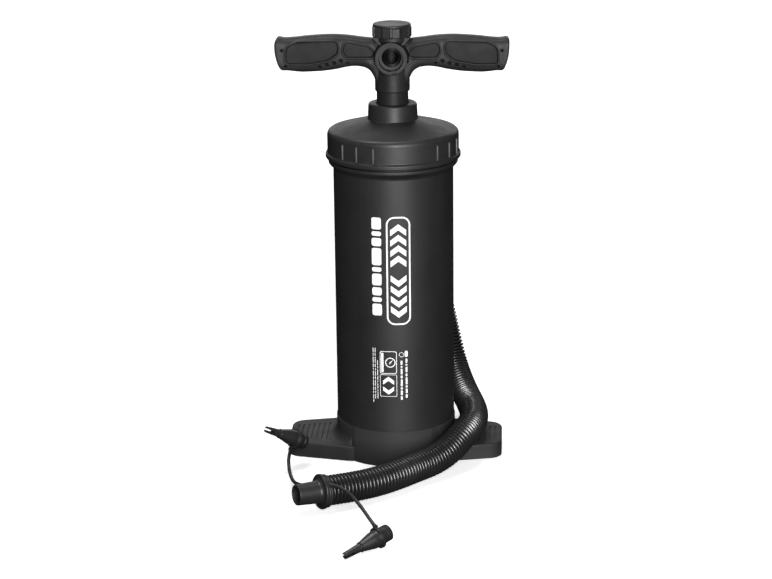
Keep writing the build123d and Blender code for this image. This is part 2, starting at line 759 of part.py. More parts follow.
with BuildPart() as tether_ring_right:
    turn(ring(CUFF_R, RING_R, 2.4, 4.4), plane=adapter_plane, axis=adapter_axis)
save(tether_ring_right, "tether_ring_right")

# ---- two nozzles, each on its own tether ----
left_flange = Vector(-107.6, -63.1, 31.0)
left_run = Vector(-0.647, -0.608, 0.46)
right_flange = Vector(-3.1, -290.6, 11.9)
right_run = Vector(-0.724, -0.667, -0.176)
NOZZLE_FLANGE_R = 11.2
TIP_END = 44.0


def nozzle(flange_centre, direction):
    """A stepped nozzle: a plug behind the flange, a cone, and a split tip."""
    plane, axis = along(flange_centre, direction)
    with BuildPart() as one_nozzle:
        turn(
            [
                (5.6, -13.5),
                (8.5, -13.5),
                (8.7, -1.5),
                (NOZZLE_FLANGE_R, -1.5),
                (NOZZLE_FLANGE_R, 1.5),
                (8.7, 1.5),
                (8.2, 8),
                (4.7, 23),
                (3.9, 24),
                (2.9, TIP_END),
                (1.7, TIP_END),
                (2.2, 24),
                (5.6, 8),
            ],
            plane=plane,
            axis=axis,
            rounding=[0.4, 0.8, 0, 0.6, 0.6, 0, 3, 2, 0, 0.4, 0, 0, 2],
        )
        with BuildSketch(Plane(plane.origin + plane.y_dir * (TIP_END - 8), plane.x_dir, plane.y_dir)):
            Rectangle(1.6, 12)
        extrude(amount=12, mode=Mode.SUBTRACT)
    return one_nozzle


left_nozzle = nozzle(left_flange, left_run)
save(left_nozzle, "left_nozzle")
right_nozzle = nozzle(right_flange, right_run)
save(right_nozzle, "right_nozzle")

left_tether_route = [
    (-73.7, -170.7, 19),
    (-83, -163, 16.5),
    (-92.5, -157.5, 14),
    (-100, -149, 13),
    (-104.6, -137, 13.5),
    (-108.4, -120.2, 14.5),
    (-111.5, -99.4, 16),
    (-112.8, -81.7, 18),
    (-112, -67.5, 20.6),
]
with BuildPart() as left_tether:
    tube(left_tether_route, STRAP_R, "left_tether")
save(left_tether, "left_tether")

right_tether_route = [
    (-58.0, -197.6, 30.2),
    (-50.2, -208.5, 33.4),
    (-38.2, -229.1, 36.3),
    (-30.1, -243.7, 34.9),
    (-20.9, -260.1, 30.8),
    (-13.5, -273.5, 26.2),
    (-5.6, -286.8, 21.2),
]
with BuildPart() as right_tether:
    tube(right_tether_route, STRAP_R, "right_tether")
save(right_tether, "right_tether")
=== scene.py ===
import json
import math

import bmesh
import bpy
import numpy as np
from mathutils import Matrix, Vector


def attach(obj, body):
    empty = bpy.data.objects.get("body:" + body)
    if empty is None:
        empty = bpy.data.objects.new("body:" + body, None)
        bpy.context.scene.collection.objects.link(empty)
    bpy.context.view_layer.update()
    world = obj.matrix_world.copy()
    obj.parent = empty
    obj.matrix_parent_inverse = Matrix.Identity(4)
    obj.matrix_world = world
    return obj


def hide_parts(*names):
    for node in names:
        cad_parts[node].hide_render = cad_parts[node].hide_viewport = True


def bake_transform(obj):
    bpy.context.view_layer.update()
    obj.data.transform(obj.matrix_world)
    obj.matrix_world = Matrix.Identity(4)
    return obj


# Double action hand pump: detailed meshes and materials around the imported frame.
# Shapes below are written in millimetres and scaled to metres once, when a mesh is made.

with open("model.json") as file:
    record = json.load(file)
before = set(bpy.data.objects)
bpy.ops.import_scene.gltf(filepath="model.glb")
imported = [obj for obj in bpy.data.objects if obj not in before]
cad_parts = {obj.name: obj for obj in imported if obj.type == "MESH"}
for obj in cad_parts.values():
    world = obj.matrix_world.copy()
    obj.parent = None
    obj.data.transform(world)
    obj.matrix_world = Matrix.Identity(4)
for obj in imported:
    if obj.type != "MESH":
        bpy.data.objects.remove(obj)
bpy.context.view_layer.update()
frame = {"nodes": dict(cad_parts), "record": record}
nodes = frame["nodes"]
MM = 0.001

# ---- dimensions shared with the frame, in millimetres ----
BARREL_R = 65.0
INK_LIFT = 0.12
PORT_Z = 443.8
CUFF_END = 44.0
HOSE_R = 16.0
HOSE_PITCH = 4.2
HOSE_GROOVE = 2.8
TETHER_R = 1.9
GRIP_HALF_DEPTH = 13.5


# ------------------------------------------------------------------ materials
def material(name):
    """A fresh node material: its node tree, its shader and a node maker."""
    made = bpy.data.materials.new(name)
    made.use_nodes = True
    tree = made.node_tree
    shader = tree.nodes["Principled BSDF"]

    def node(kind, inputs=None, **settings):
        one = tree.nodes.new(kind)
        for key, value in settings.items():
            setattr(one, key, value)
        for key, value in (inputs or {}).items():
            if isinstance(value, bpy.types.NodeSocket):
                tree.links.new(value, one.inputs[key])
            else:
                one.inputs[key].default_value = value
        return one

    return made, tree, shader, node


def noise(node, coordinates, scale, detail=3.0, roughness=0.5, stretch=(1, 1, 1)):
    """A noise value; scale is in features per metre and stretch squeezes it along an axis."""
    mapping = node("ShaderNodeMapping", {"Vector": coordinates, "Scale": stretch})
    made = node(
        "ShaderNodeTexNoise",
        {"Vector": mapping.outputs[0], "Scale": scale, "Detail": detail, "Roughness": roughness},
    )
    return made.outputs["Fac"]


def ranged(node, value, low, high, source=(0.3, 0.7)):
    """The value mapped from its source range to low..high."""
    made = node(
        "ShaderNodeMapRange",
        {"Value": value, "From Min": source[0], "From Max": source[1], "To Min": low, "To Max": high},
    )
    return made.outputs[0]


def mixed(node, factor, first, second):
    """Two colours mixed by a factor."""
    made = node("ShaderNodeMix", data_type="RGBA")
    colours = [s for s in made.inputs if s.type == "RGBA"]
    factors = [s for s in made.inputs if s.type == "VALUE" and s.name == "Factor"]
    tree = made.id_data
    tree.links.new(factor, factors[0])
    for socket, value in zip(colours, (first, second)):
        if isinstance(value, bpy.types.NodeSocket):
            tree.links.new(value, socket)
        else:
            socket.default_value = (*value, 1.0)
    return [s for s in made.outputs if s.type == "RGBA"][0]


def painted_recess_shade(node, body, levels):
    """Painted shade: the colour darkened on faces that look front or rear and lie nearer the middle plane,
    such as sunk panel floors and dimples; those faces are also made rougher.
    """
    coordinates = node("ShaderNodeTexCoord")
    depth = node("ShaderNodeSeparateXYZ", {0: coordinates.outputs["Object"]}).outputs["Y"]
    facing = node("ShaderNodeSeparateXYZ", {0: coordinates.outputs["Normal"]}).outputs["Y"]
    off = node("ShaderNodeMath", {0: depth}, operation="ABSOLUTE").outputs[0]
    square = node("ShaderNodeMath", {0: facing}, operation="ABSOLUTE").outputs[0]
    flat = ranged(node, square, 0.0, 1.0, (0.86, 0.94))
    rougher = 0.0
    for start, stop, share, colour in levels:
        inside = ranged(node, off, share, 0.0, (start * MM, stop * MM))
        factor = node("ShaderNodeMath", {0: inside, 1: flat}, operation="MULTIPLY").outputs[0]
        body = mixed(node, factor, body, colour)
        rougher = node("ShaderNodeMath", {0: factor, 1: rougher}, operation="MAXIMUM").outputs[0]
    return body, rougher


def moulded(
    name,
    dark,
    light,
    roughness=0.5,
    spread=0.06,
    grain=2200.0,
    depth=0.00004,
    strength=0.35,
    level=0.4,
    streak=(1, 1, 1),
    edge=0.25,
    coat=0.0,
    sheen=0.0,
    waves=0.25,
    recess=None,
):
    """Moulded plastic or rubber: mottled colour, paler edges as painted highlight, painted shade in concave
    creases, fine grain and uneven gloss.
    """
    made, tree, shader, node = material(name)
    here = node("ShaderNodeTexCoord").outputs["Object"]
    mottle = noise(node, here, 28.0, 4.0, 0.55)
    speck = noise(node, here, grain * 0.45, 2.0, 0.7)
    body = mixed(node, ranged(node, mottle, 0.0, 1.0), dark, light)
    brighter = tuple(min(1.0, c * 1.35) for c in light)
    body = mixed(node, ranged(node, speck, 0.0, 0.45, (0.45, 0.75)), body, brighter)
    # painted highlight: convex edges (high pointiness) are mixed towards a paler colour
    pointed = node("ShaderNodeNewGeometry").outputs["Pointiness"]
    painted_edge_highlight = tuple(min(1.0, c * 2.2 + 0.01) for c in light)
    body = mixed(node, ranged(node, pointed, 0.0, edge, (0.52, 0.60)), body, painted_edge_highlight)
    # painted shade: concave creases and dimples (low pointiness) are darkened towards near black
    shade = ranged(node, pointed, 0.85, 0.0, (0.42, 0.485))
    body = mixed(node, shade, body, tuple(c * 0.12 for c in dark))
    rougher = 0.0
    # painted shade on sunk faces, where recess levels are given
    if recess:
        body, rougher = painted_recess_shade(node, body, recess)
    tree.links.new(body, shader.inputs["Base Color"])
    wipe = noise(node, here, 70.0, 5.0, 0.6, streak)
    gloss = ranged(node, wipe, roughness - spread, roughness + spread)
    gloss = node("ShaderNodeMath", {0: rougher, 1: 0.32, 2: gloss}, operation="MULTIPLY_ADD").outputs[0]
    tree.links.new(gloss, shader.inputs["Roughness"])
    fine = noise(node, here, grain, 2.0, 0.6)
    broad = noise(node, here, 55.0, 3.0, 0.5, streak)
    low = node("ShaderNodeBump", {"Height": broad, "Strength": waves, "Distance": 0.0003})
    bump = node(
        "ShaderNodeBump",
        {"Height": fine, "Strength": strength, "Distance": depth, "Normal": low.outputs[0]},
    )
    tree.links.new(bump.outputs[0], shader.inputs["Normal"])
    shader.inputs["Specular IOR Level"].default_value = level
    shader.inputs["Coat Weight"].default_value = coat
    shader.inputs["Coat Roughness"].default_value = 0.2
    shader.inputs["Sheen Weight"].default_value = sheen
    return made


FOOT = moulded(
    "foot_plastic", (0.012, 0.012, 0.0125), (0.019, 0.019, 0.0195), 0.62,
    level=0.3, grain=1500, depth=0.00007,
)
BARREL = moulded(
    "barrel_plastic", (0.008, 0.008, 0.0085), (0.012, 0.012, 0.0125), 0.54, 0.04, 2600, 0.00002, level=0.45,
    streak=(1, 1, 0.12), edge=0.15, waves=0.12,
)
LID = moulded("lid_plastic", (0.011, 0.011, 0.0115), (0.017, 0.017, 0.0175), 0.47, grain=1800, depth=0.00005)
# painted highlight: a paler copy of the lid's plastic, so the ribs read as lit lines
LIT_RIB_FINISH = moulded("lid_rib_painted_highlight", (0.024, 0.024, 0.0245), (0.036, 0.036, 0.0365), 0.42, grain=1800)
HUB = moulded("hub_plastic", (0.009, 0.009, 0.0095), (0.015, 0.015, 0.0155), 0.52, grain=2000, level=0.32)
GRIP = moulded(
    "grip_plastic", (0.011, 0.011, 0.0115), (0.019, 0.019, 0.0195), 0.54,
    grain=1700, level=0.3, depth=0.00006,
    # recess levels: painted shade, half-way to near black below 11.3 mm from the middle plane (panel floors),
    # fully near black below 9.6 mm (dimple bottoms)
    recess=((11.3, 11.8, 0.5, (0.003, 0.003, 0.003)), (9.6, 10.2, 1.0, (0.0005, 0.0005, 0.0005))),
)
KNOB = moulded("knob_plastic", (0.014, 0.014, 0.0145), (0.022, 0.022, 0.0225), 0.46, grain=2000)
ROD = moulded(
    "rod_plastic", (0.008, 0.008, 0.0085), (0.013, 0.013, 0.0135), 0.50, 0.06, 2600, 0.00001, 0.2, 0.22,
    streak=(1, 1, 0.06), edge=0.1,
)
HOSE = moulded(
    "hose_plastic", (0.008, 0.008, 0.0085), (0.013, 0.013, 0.0135), 0.30, 0.04, 1400, 0.00001, 0.2, 0.65,
    edge=0.15, coat=0.3, waves=0.0,
)
FITTING = moulded("fitting_plastic", (0.010, 0.010, 0.0105), (0.016, 0.016, 0.0165), 0.40, grain=1900)
TETHER = moulded("tether_rubber", (0.014, 0.014, 0.014), (0.022, 0.022, 0.022), 0.40, grain=1600, edge=0.1)
# painted shade: near-black plastic for the spool, standing for the dark inside of the front port
SPOOL_PAINTED_SHADE = moulded("spool_painted_shade", (0.0016, 0.0016, 0.0016), (0.003, 0.003, 0.003), 0.55, level=0.2)
SEAL = moulded("seal_rubber", (0.012, 0.012, 0.012), (0.020, 0.020, 0.020), 0.60, sheen=0.05)
INNER = moulded("inner_plastic", (0.25, 0.25, 0.26), (0.33, 0.33, 0.34), 0.50)
BUSH = moulded("bush_plastic", (0.66, 0.65, 0.61), (0.76, 0.75, 0.71), 0.35, depth=0.00001, level=0.5)


def steel():
    """Plated steel with turning marks."""
    made, tree, shader, node = material("screw_steel")
    here = node("ShaderNodeTexCoord").outputs["Object"]
    marks = noise(node, here, 900.0, 3.0, 0.6, (1, 1, 6))
    tree.links.new(
        mixed(node, ranged(node, marks, 0.0, 1.0), (0.50, 0.50, 0.52), (0.64, 0.64, 0.65)),
        shader.inputs["Base Color"],
    )
    tree.links.new(ranged(node, marks, 0.22, 0.38), shader.inputs["Roughness"])
    bump = node("ShaderNodeBump", {"Height": marks, "Strength": 0.2, "Distance": 0.00002})
    tree.links.new(bump.outputs[0], shader.inputs["Normal"])
    shader.inputs["Metallic"].default_value = 1.0
    return made


def ink():
    """White pad-printed ink: slightly uneven, thinner in fine specks."""
    made, tree, shader, node = material("print_white")
    here = node("ShaderNodeTexCoord").outputs["Object"]
    cover = noise(node, here, 900.0, 3.0, 0.65)
    cloud = noise(node, here, 120.0, 2.0, 0.5)
    thick = mixed(node, ranged(node, cloud, 0.0, 1.0), (0.80, 0.80, 0.80), (0.90, 0.90, 0.90))
    thin = ranged(node, cover, 0.0, 0.5, (0.62, 0.78))
    tree.links.new(mixed(node, thin, thick, (0.45, 0.45, 0.45)), shader.inputs["Base Color"])
    tree.links.new(ranged(node, cover, 0.42, 0.58), shader.inputs["Roughness"])
    bump = node("ShaderNodeBump", {"Height": cover, "Strength": 0.15, "Distance": 0.00002})
    tree.links.new(bump.outputs[0], shader.inputs["Normal"])
    shader.inputs["Specular IOR Level"].default_value = 0.3
    return made


STEEL = steel()
INK = ink()


# ------------------------------------------------------------------ mesh tools
def add_mesh(name, verts, faces, finish, body, slot, replaced=(), sharp=38.0, blend=None):
    """A closed mesh from millimetre points: welded, faced outwards, smooth with sharp creases."""
    mesh = bpy.data.meshes.new(name)
    mesh.from_pydata([tuple(c * MM for c in v) for v in verts], [], faces)
    work = bmesh.new()
    work.from_mesh(mesh)
    bmesh.ops.remove_doubles(work, verts=work.verts, dist=0.00002)
    bmesh.ops.dissolve_degenerate(work, edges=work.edges, dist=0.000005)
    bmesh.ops.recalc_face_normals(work, faces=work.faces)
    work.to_mesh(mesh)
    work.free()
    mesh.shade_smooth()
    mesh.set_sharp_from_angle(angle=math.radians(sharp))
    piece = bpy.data.objects.new(name, mesh)
    bpy.context.scene.collection.objects.link(piece)
    mesh.materials.append(finish)
    if blend:
        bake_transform(piece)
    else:
        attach(piece, body)
    if replaced:
        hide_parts(*replaced)
    return piece


def placed(origin, direction):
    """A matrix whose Z runs along a direction from an origin, in millimetres."""
    run = Vector(direction).normalized()
    side = run.cross(Vector((0, 0, 1)))
    side = side.normalized() if side.length > 1e-6 else Vector((1, 0, 0))
    up = run.cross(side)
    turned = Matrix((side, up, run)).transposed().to_4x4()
    return Matrix.Translation(Vector(origin)) @ turned


def rounded(outline, radii, steps=5):
    """A closed outline with its corners rounded to the given radii."""
    result = []
    count = len(outline)
    for index, (corner, radius) in enumerate(zip(outline, radii)):
        here = Vector(corner)
        if not radius:
            result.append(tuple(here))
            continue
        before = (Vector(outline[index - 1]) - here).normalized()
        after = (Vector(outline[(index + 1) % count]) - here).normalized()
        half = before.angle(after) / 2
        reach = radius / math.tan(half)
        centre = here + (before + after).normalized() * (radius / math.sin(half))
        first, last = here + before * reach, here + after * reach
        for step in range(steps + 1):
            point = first.lerp(last, step / steps) - centre
            result.append(tuple(centre + point.normalized() * radius))
    return result


def lathe(outline, place=None, turns=96):
    """Verts and faces of a closed outline of (radius, height) turned about a placed Z axis."""
    place = place or Matrix.Identity(4)
    verts, faces = [], []
    count = len(outline)
    for turn in range(turns):
        angle = 2 * math.pi * turn / turns
        for radius, height in outline:
            verts.append(place @ Vector((radius * math.cos(angle), radius * math.sin(angle), height)))
    for turn in range(turns):
        nxt = (turn + 1) % turns
        for index in range(count):
            following = (index + 1) % count
            faces.append(
                (turn * count + index, nxt * count + index, nxt * count + following, turn * count + following)
            )
    return verts, faces


def route_line(name, points, step):
    """Points read along the NURBS spline of a route, evenly spaced by about a step, in millimetres."""
    curve = bpy.data.curves.new(name, "CURVE")
    curve.dimensions = "3D"
    spline = curve.splines.new("NURBS")
    spline.points.add(len(points) - 1)
    for knot, point in zip(spline.points, points):
        knot.co = (*[c * MM for c in point], 1.0)
    spline.order_u = 3
    spline.use_endpoint_u = True
    spline.resolution_u = 24
    holder = bpy.data.objects.new(name, curve)
    bpy.context.scene.collection.objects.link(holder)
    line = bpy.data.meshes.new_from_object(holder)
    found = np.array([v.co for v in line.vertices]) / MM
    bpy.data.objects.remove(holder)
    bpy.data.meshes.remove(line)
    bpy.data.curves.remove(curve)
    apart = np.linalg.norm(np.diff(found, axis=0), axis=1)
    found = found[np.concatenate([[True], apart > 1e-6])]
    reach = np.concatenate([[0], np.cumsum(np.linalg.norm(np.diff(found, axis=0), axis=1))])
    even = np.linspace(0, reach[-1], max(2, int(round(reach[-1] / step)) + 1))
    return np.stack([np.interp(even, reach, found[:, k]) for k in range(3)], axis=1), even


def swept(line, radii, sides=40):
    """Verts and faces of a round tube along a line, with a radius at each point."""
    line = np.asarray(line, float)
    tangents = np.gradient(line, axis=0)
    tangents /= np.linalg.norm(tangents, axis=1)[:, None]
    side = np.cross(tangents[0], (0.0, 0.0, 1.0))
    if np.linalg.norm(side) < 1e-3:
        side = np.cross(tangents[0], (1.0, 0.0, 0.0))
    verts, faces = [], []
    turn = np.arange(sides) * 2 * math.pi / sides
    for point, run, radius in zip(line, tangents, radii):
        side = side - run * (side @ run)
        side /= np.linalg.norm(side)
        up = np.cross(run, side)
        ring = point + radius * (np.outer(np.cos(turn), side) + np.outer(np.sin(turn), up))
        verts.extend(map(tuple, ring))
    for row in range(len(line) - 1):
        for k in range(sides):
            a, b = row * sides + k, row * sides + (k + 1) % sides
            faces.append((a, b, b + sides, a + sides))
    last = (len(line) - 1) * sides
    faces.append(tuple(range(sides - 1, -1, -1)))
    faces.append(tuple(last + k for k in range(sides)))
    return verts, faces


def smooth(low, high, value):
    """A smooth step from 0 at low to 1 at high."""
    share = np.clip((np.asarray(value, float) - low) / (high - low), 0, 1)
    return share * share * (3 - 2 * share)


# ------------------------------------------------------------------ camera
HEADING = math.radians(3.4)
PITCH = math.radians(16.632)
ROLL = math.radians(0.681)
ahead = Vector((-math.sin(HEADING), math.cos(HEADING), 0))
forward = ahead * math.cos(PITCH) - Vector((0, 0, math.sin(PITCH)))
level_right = Vector((math.cos(HEADING), math.sin(HEADING), 0))
level_up = ahead * math.sin(PITCH) + Vector((0, 0, math.cos(PITCH)))
right = level_right * math.cos(ROLL) - level_up * math.sin(ROLL)
up = level_right * math.sin(ROLL) + level_up * math.cos(ROLL)
camera_data = bpy.data.cameras.new("camera")
camera_data.sensor_width = 36.0
camera_data.lens = 102.47
camera_data.clip_end = 100.0
camera = bpy.data.objects.new("camera", camera_data)
camera.matrix_world = Matrix.Translation(Vector((0.12796, -2.31379, 0.87536))) @ (
    Matrix((right, up, -forward)).transposed().to_4x4()
)
bpy.context.scene.collection.objects.link(camera)
bpy.context.scene.camera = camera

# ------------------------------------------------------------------ hose
hose_route = [
    (0, CUFF_END + 0.2, PORT_Z),
    (0, 82, 443.8),
    (-4.5, 115, 425),
    (-7.5, 134, 392),
    (-7, 134.5, 350),
    (4, 130, 288),
    (22.7, 124.5, 228),
    (36, 119, 173),
    (47.3, 115, 126),
    (55.5, 110, 90),
    (63.5, 96.9, 60),
    (74.5, 71, 41),
    (83.8, 42, 34.2),
    (88, 9, 33.8),
    (85.5, -22, 34.4),
    (76.5, -51, 33),
    (62, -74, 23),
    (44, -93, 17.2),
    (26.5, -109.4, 16.3),
    (6.9, -132.6, 16.3),
    (-15.5, -153.9, 16.3),
    (-40.5, -171.1, 17.3),
    (-63.5, -185.1, 18.9),
]
hose_line, hose_reach = route_line("hose_route", hose_route, HOSE_PITCH / 12)
ridge = np.abs(np.sin(math.pi * hose_reach / HOSE_PITCH))
hose_radii = HOSE_R - HOSE_GROOVE * (1 - ridge**0.85)
hose = add_mesh(
    "hose_tube", *swept(hose_line, hose_radii, 56), HOSE, None, "hose_plastic", ("hose",), 75.0,
    blend=("root", "handle", (0, 0, 0.06), (0, 0, 0.42)),
)

# ------------------------------------------------------------------ adapter and tether rings
hose_end = (-63.5, -185.1, 18.9)
adapter_place = placed(hose_end, (-23.0, -14.0, 1.6))
adapter_outline = rounded(
    [
        (8.6, -1.0), (14.5, -1.0), (14.5, 4.5), (18.6, 4.5),
        (18.6, 8.2), (12.1, 8.2), (11.0, 35.0), (8.6, 35.0),
        (8.6, 30.0), (9.1, 28.0), (9.1, 4.0), (8.6, 3.0),
    ],
    [0, 0.5, 0, 0.9, 1.3, 4.2, 0.9, 0.6, 0, 0, 0, 0],
)
adapter = add_mesh(
    "adapter_stub", *lathe(adapter_outline, adapter_place, 112), FITTING, "root",
    "fitting_plastic", ("hose_adapter",),
)
for name, node_name, low, high in (
    ("tether_ring_a", "tether_ring_left", 0.1, 2.2),
    ("tether_ring_b", "tether_ring_right", 2.4, 4.4),
):
    outline = rounded([(14.4, low), (17.6, low), (17.6, high), (14.4, high)], [0.3, 0.8, 0.8, 0.3], 4)
    add_mesh(name, *lathe(outline, adapter_place, 96), TETHER, "root", "tether_rubber", (node_name,))


# ------------------------------------------------------------------ nozzles
def nozzle(name, node_name, flange_centre, direction):
    """A stepped nozzle: ribbed plug, flange with a moulded ring, cone and a split tip."""
    place = placed(flange_centre, direction)
    outline = rounded(
        [
            (5.6, -13.5), (8.4, -13.5), (8.6, -9.0), (8.2, -8.6), (8.7, -8.0), (8.7, -1.5),
            (11.2, -1.5), (11.2, -0.1), (10.5, 0.0), (11.1, 0.1), (11.1, 1.6), (9.0, 1.6),
            (8.6, 7.5), (5.2, 22.3), (5.4, 22.7), (5.4, 23.7), (4.5, 24.1), (3.4, 44.0),
            (2.0, 44.0), (2.6, 24.0), (5.6, 8.0),
        ],
        [0.4, 0.9, 0, 0, 0, 0, 0.5, 0, 0, 0, 0.5, 0.8, 4.0, 0, 0, 0.3, 0.5, 0.4, 0, 0, 2],
    )
    verts, faces = lathe(outline, place, 72)
    piece = add_mesh(name, verts, faces, FITTING, "root", "fitting_plastic", (node_name,))
    cutter_mesh = bpy.data.meshes.new("cutter")
    corners = [
        place @ Vector((x, y, z)) for x in (-7, 7) for y in (-0.95, 0.95) for z in (33.5, 50)
    ]
    cutter_mesh.from_pydata(
        [c * MM for c in corners],
        [],
        [(0, 1, 3, 2), (4, 6, 7, 5), (0, 4, 5, 1), (2, 3, 7, 6), (0, 2, 6, 4), (1, 5, 7, 3)],
    )
    cutter = bpy.data.objects.new("cutter", cutter_mesh)
    bpy.context.scene.collection.objects.link(cutter)
    cut = piece.modifiers.new("split", "BOOLEAN")
    cut.object = cutter
    cut.solver = "EXACT"
    bpy.context.view_layer.update()
    done = bpy.data.meshes.new_from_object(piece.evaluated_get(bpy.context.evaluated_depsgraph_get()))
    piece.modifiers.clear()
    piece.data = done
    bpy.data.objects.remove(cutter)
    bpy.data.meshes.remove(cutter_mesh)
    done.shade_smooth()
    done.set_sharp_from_angle(angle=math.radians(38))
    return piece


nozzle_a = nozzle("nozzle_a", "left_nozzle", (-107.6, -63.1, 31.0), (-0.647, -0.608, 0.46))
nozzle_b = nozzle("nozzle_b", "right_nozzle", (-3.1, -290.6, 11.9), (-0.724, -0.667, -0.176))

# ------------------------------------------------------------------ tethers
left_tether_route = [
    (-73.7, -170.7, 19),
    (-83, -163, 16.5),
    (-92.5, -157.5, 14),
    (-100, -149, 13),
    (-104.6, -137, 13.5),
    (-108.4, -120.2, 14.5),
    (-111.5, -99.4, 16),
    (-112.8, -81.7, 18),
    (-112, -67.5, 20.6),
]
right_tether_route = [
    (-58.0, -197.6, 30.2),
    (-50.2, -208.5, 33.4),
    (-38.2, -229.1, 36.3),
    (-30.1, -243.7, 34.9),
    (-20.9, -260.1, 30.8),
    (-13.5, -273.5, 26.2),
    (-5.6, -286.8, 21.2),
]
tethers = []
for name, node_name, points in (
    ("tether_a", "left_tether", left_tether_route),
    ("tether_b", "right_tether", right_tether_route),
):
    line, reach = route_line(name + "_route", points, 0.8)
    near_end = np.minimum(reach, reach[-1] - reach)
    radii = TETHER_R + 0.9 * (1 - smooth(0.0, 5.0, near_end))
    tethers.append(
        (add_mesh(name, *swept(line, radii, 24), TETHER, "root", "tether_rubber", (node_name,)), line, points)
    )

for (piece, line, points), held in zip(tethers, (nozzle_a, nozzle_b)):
    reach = float(np.linalg.norm(np.diff(line, axis=0), axis=1).sum()) * MM


# ------------------------------------------------------------------ lid's grip ribs
LID_R = 71.0
RIB_BOTTOM, RIB_TOP = 340.9, 357.4
RIB_FIRST = -30.0
RIB_SPACING = 15.8
RIB_PROFILE = [(-1.1, -0.6), (-1.1, 0.9), (-0.6, 1.35), (0.6, 1.35), (1.1, 0.9), (1.1, -0.6)]


def lid_ribs():
    """Four groups of three upright ribs on the lid, with rounded crests in a paler finish that is painted
    highlight, and sloped upper ends.
    """
    verts, faces = [], []
    for group in range(4):
        for rib in (-1, 0, 1):
            angle = math.radians(RIB_FIRST - 90 + 90 * group + RIB_SPACING * rib)
            out, across = (math.cos(angle), math.sin(angle)), (-math.sin(angle), math.cos(angle))
            start = len(verts)
            for level, crest in ((RIB_BOTTOM, 1.0), (RIB_TOP - 1.2, 1.0), (RIB_TOP, 0.2)):
                for side, height in RIB_PROFILE:
                    reach = LID_R + min(height, height * crest)
                    here = [reach * o + side * a for o, a in zip(out, across)]
                    verts.append((*here, level))
            count = len(RIB_PROFILE)
            for row in range(2):
                for k in range(count):
                    a, b = start + row * count + k, start + row * count + (k + 1) % count
                    faces.append((a, b, b + count, a + count))
            faces.append(tuple(start + k for k in range(count)))
            faces.append(tuple(start + 2 * count + k for k in range(count)))
    return add_mesh("lid_ribs", verts, faces, LIT_RIB_FINISH, "root", "lid_plastic", sharp=50.0)


lid_ribs()

# ------------------------------------------------------------------ knob
KNOB_BOTTOM = 464.8
KNOB_R = 21.1
KNOB_FLAT = 20.7
KNOB_GROOVES = 12
KNOB_GROOVE_R = 17.6
KNOB_GROOVE_HALF = 1.1
KNOB_CAP_R = 20.3


def knob():
    """The selector knob: twelve flat lobes with grooves between them, under a closed cap."""
    turns = 720
    theta = np.arange(turns) * 2 * math.pi / turns
    pitch = 2 * math.pi / KNOB_GROOVES
    from_groove = np.abs((theta + pitch / 2) % pitch - pitch / 2)
    from_flat = pitch / 2 - from_groove
    lobes = np.minimum(KNOB_FLAT / np.cos(from_flat), KNOB_R)
    rise = smooth(KNOB_GROOVE_HALF, KNOB_GROOVE_HALF + 0.8, from_groove * KNOB_R)
    grooved = KNOB_GROOVE_R + (lobes - KNOB_GROOVE_R) * rise
    cap = np.full(turns, KNOB_CAP_R)
    rows = [(cap * 0.0, 0.0), (cap * 0.8, 0.0), (grooved - 0.5, 0.0), (grooved - 0.1, 0.2), (grooved, 0.6)]
    rows += [(grooved, level) for level in (2.0, 4.0, 6.0, 8.0, 9.6)]
    rows += [(grooved - 0.1, 10.0), (grooved - 0.5, 10.35), (np.minimum(grooved, cap) - 0.3, 10.6)]
    rows += [(cap - 0.25, 10.75), (cap, 11.1), (cap, 12.0)]
    for step in range(1, 6):
        turned = step / 5 * math.pi / 2
        rows.append((cap - 1.5 * (1 - math.cos(turned)), 12.0 + 1.5 * math.sin(turned)))
    rows += [(cap * 0.8, 13.5), (cap * 0.76, 13.35), (cap * 0.4, 13.35), (cap * 0.0, 13.35)]
    verts = []
    for radii, level in rows:
        height = np.full(turns, KNOB_BOTTOM + level)
        verts.extend(zip(radii * np.cos(theta), radii * np.sin(theta), height))
    faces = []
    for row in range(len(rows) - 1):
        for k in range(turns):
            a, b = row * turns + k, row * turns + (k + 1) % turns
            faces.append((a, b, b + turns, a + turns))
    return add_mesh("knob_body", verts, faces, KNOB, "selector", "knob_plastic", ("selector_knob",), 50.0)


knob()


# ------------------------------------------------------------------ grips
def spline_through(points, values):
    """A smooth curve through points, as a function of the first coordinate."""
    xs, ys = (np.array(c, float) for c in zip(*points))
    slopes = np.gradient(ys, xs)
    values = np.clip(values, xs[0], xs[-1])
    index = np.clip(np.searchsorted(xs, values) - 1, 0, len(xs) - 2)
    span = xs[index + 1] - xs[index]
    t = (values - xs[index]) / span
    start, end = ys[index], ys[index + 1]
    return (
        start * (1 + 2 * t) * (1 - t) ** 2
        + end * t * t * (3 - 2 * t)
        + slopes[index] * span * t * (1 - t) ** 2
        - slopes[index + 1] * span * t * t * (1 - t)
    )


GRIP_TOP = [
    (14, 461.8), (20, 462.6), (30, 463.3), (46, 465.4), (62, 466.4), (80, 465.8), (93, 464.8), (106, 463.3),
    (115, 462.7), (121.5, 463.7),
]
GRIP_BOTTOM = [
    (14, 413.0), (17, 415.0), (19, 420.5), (22, 426.2), (27, 430.7), (34, 432.7), (42, 433.0), (48, 432.2),
    (59, 429.9), (72, 428.0), (85, 427.1), (98, 426.8), (108, 427.6), (116, 428.6), (121.5, 428.6),
]
GRIP_END = [
    (426, 114.2), (428.5, 116.2), (433, 118.4), (440, 120.8), (447, 122.3), (453, 122.8), (459, 122.6),
    (463.5, 121.0), (465, 120.2),
]
PANEL_LARGE = [
    (55.5, 461.2), (57.5, 447.5), (68.0, 440.0), (90.0, 436.3),
    (113.4, 436.6), (112.5, 454.5), (101.0, 460.2),
]
PANEL_LARGE_ROUND = [6, 7, 20, 30, 4.5, 8, 14]
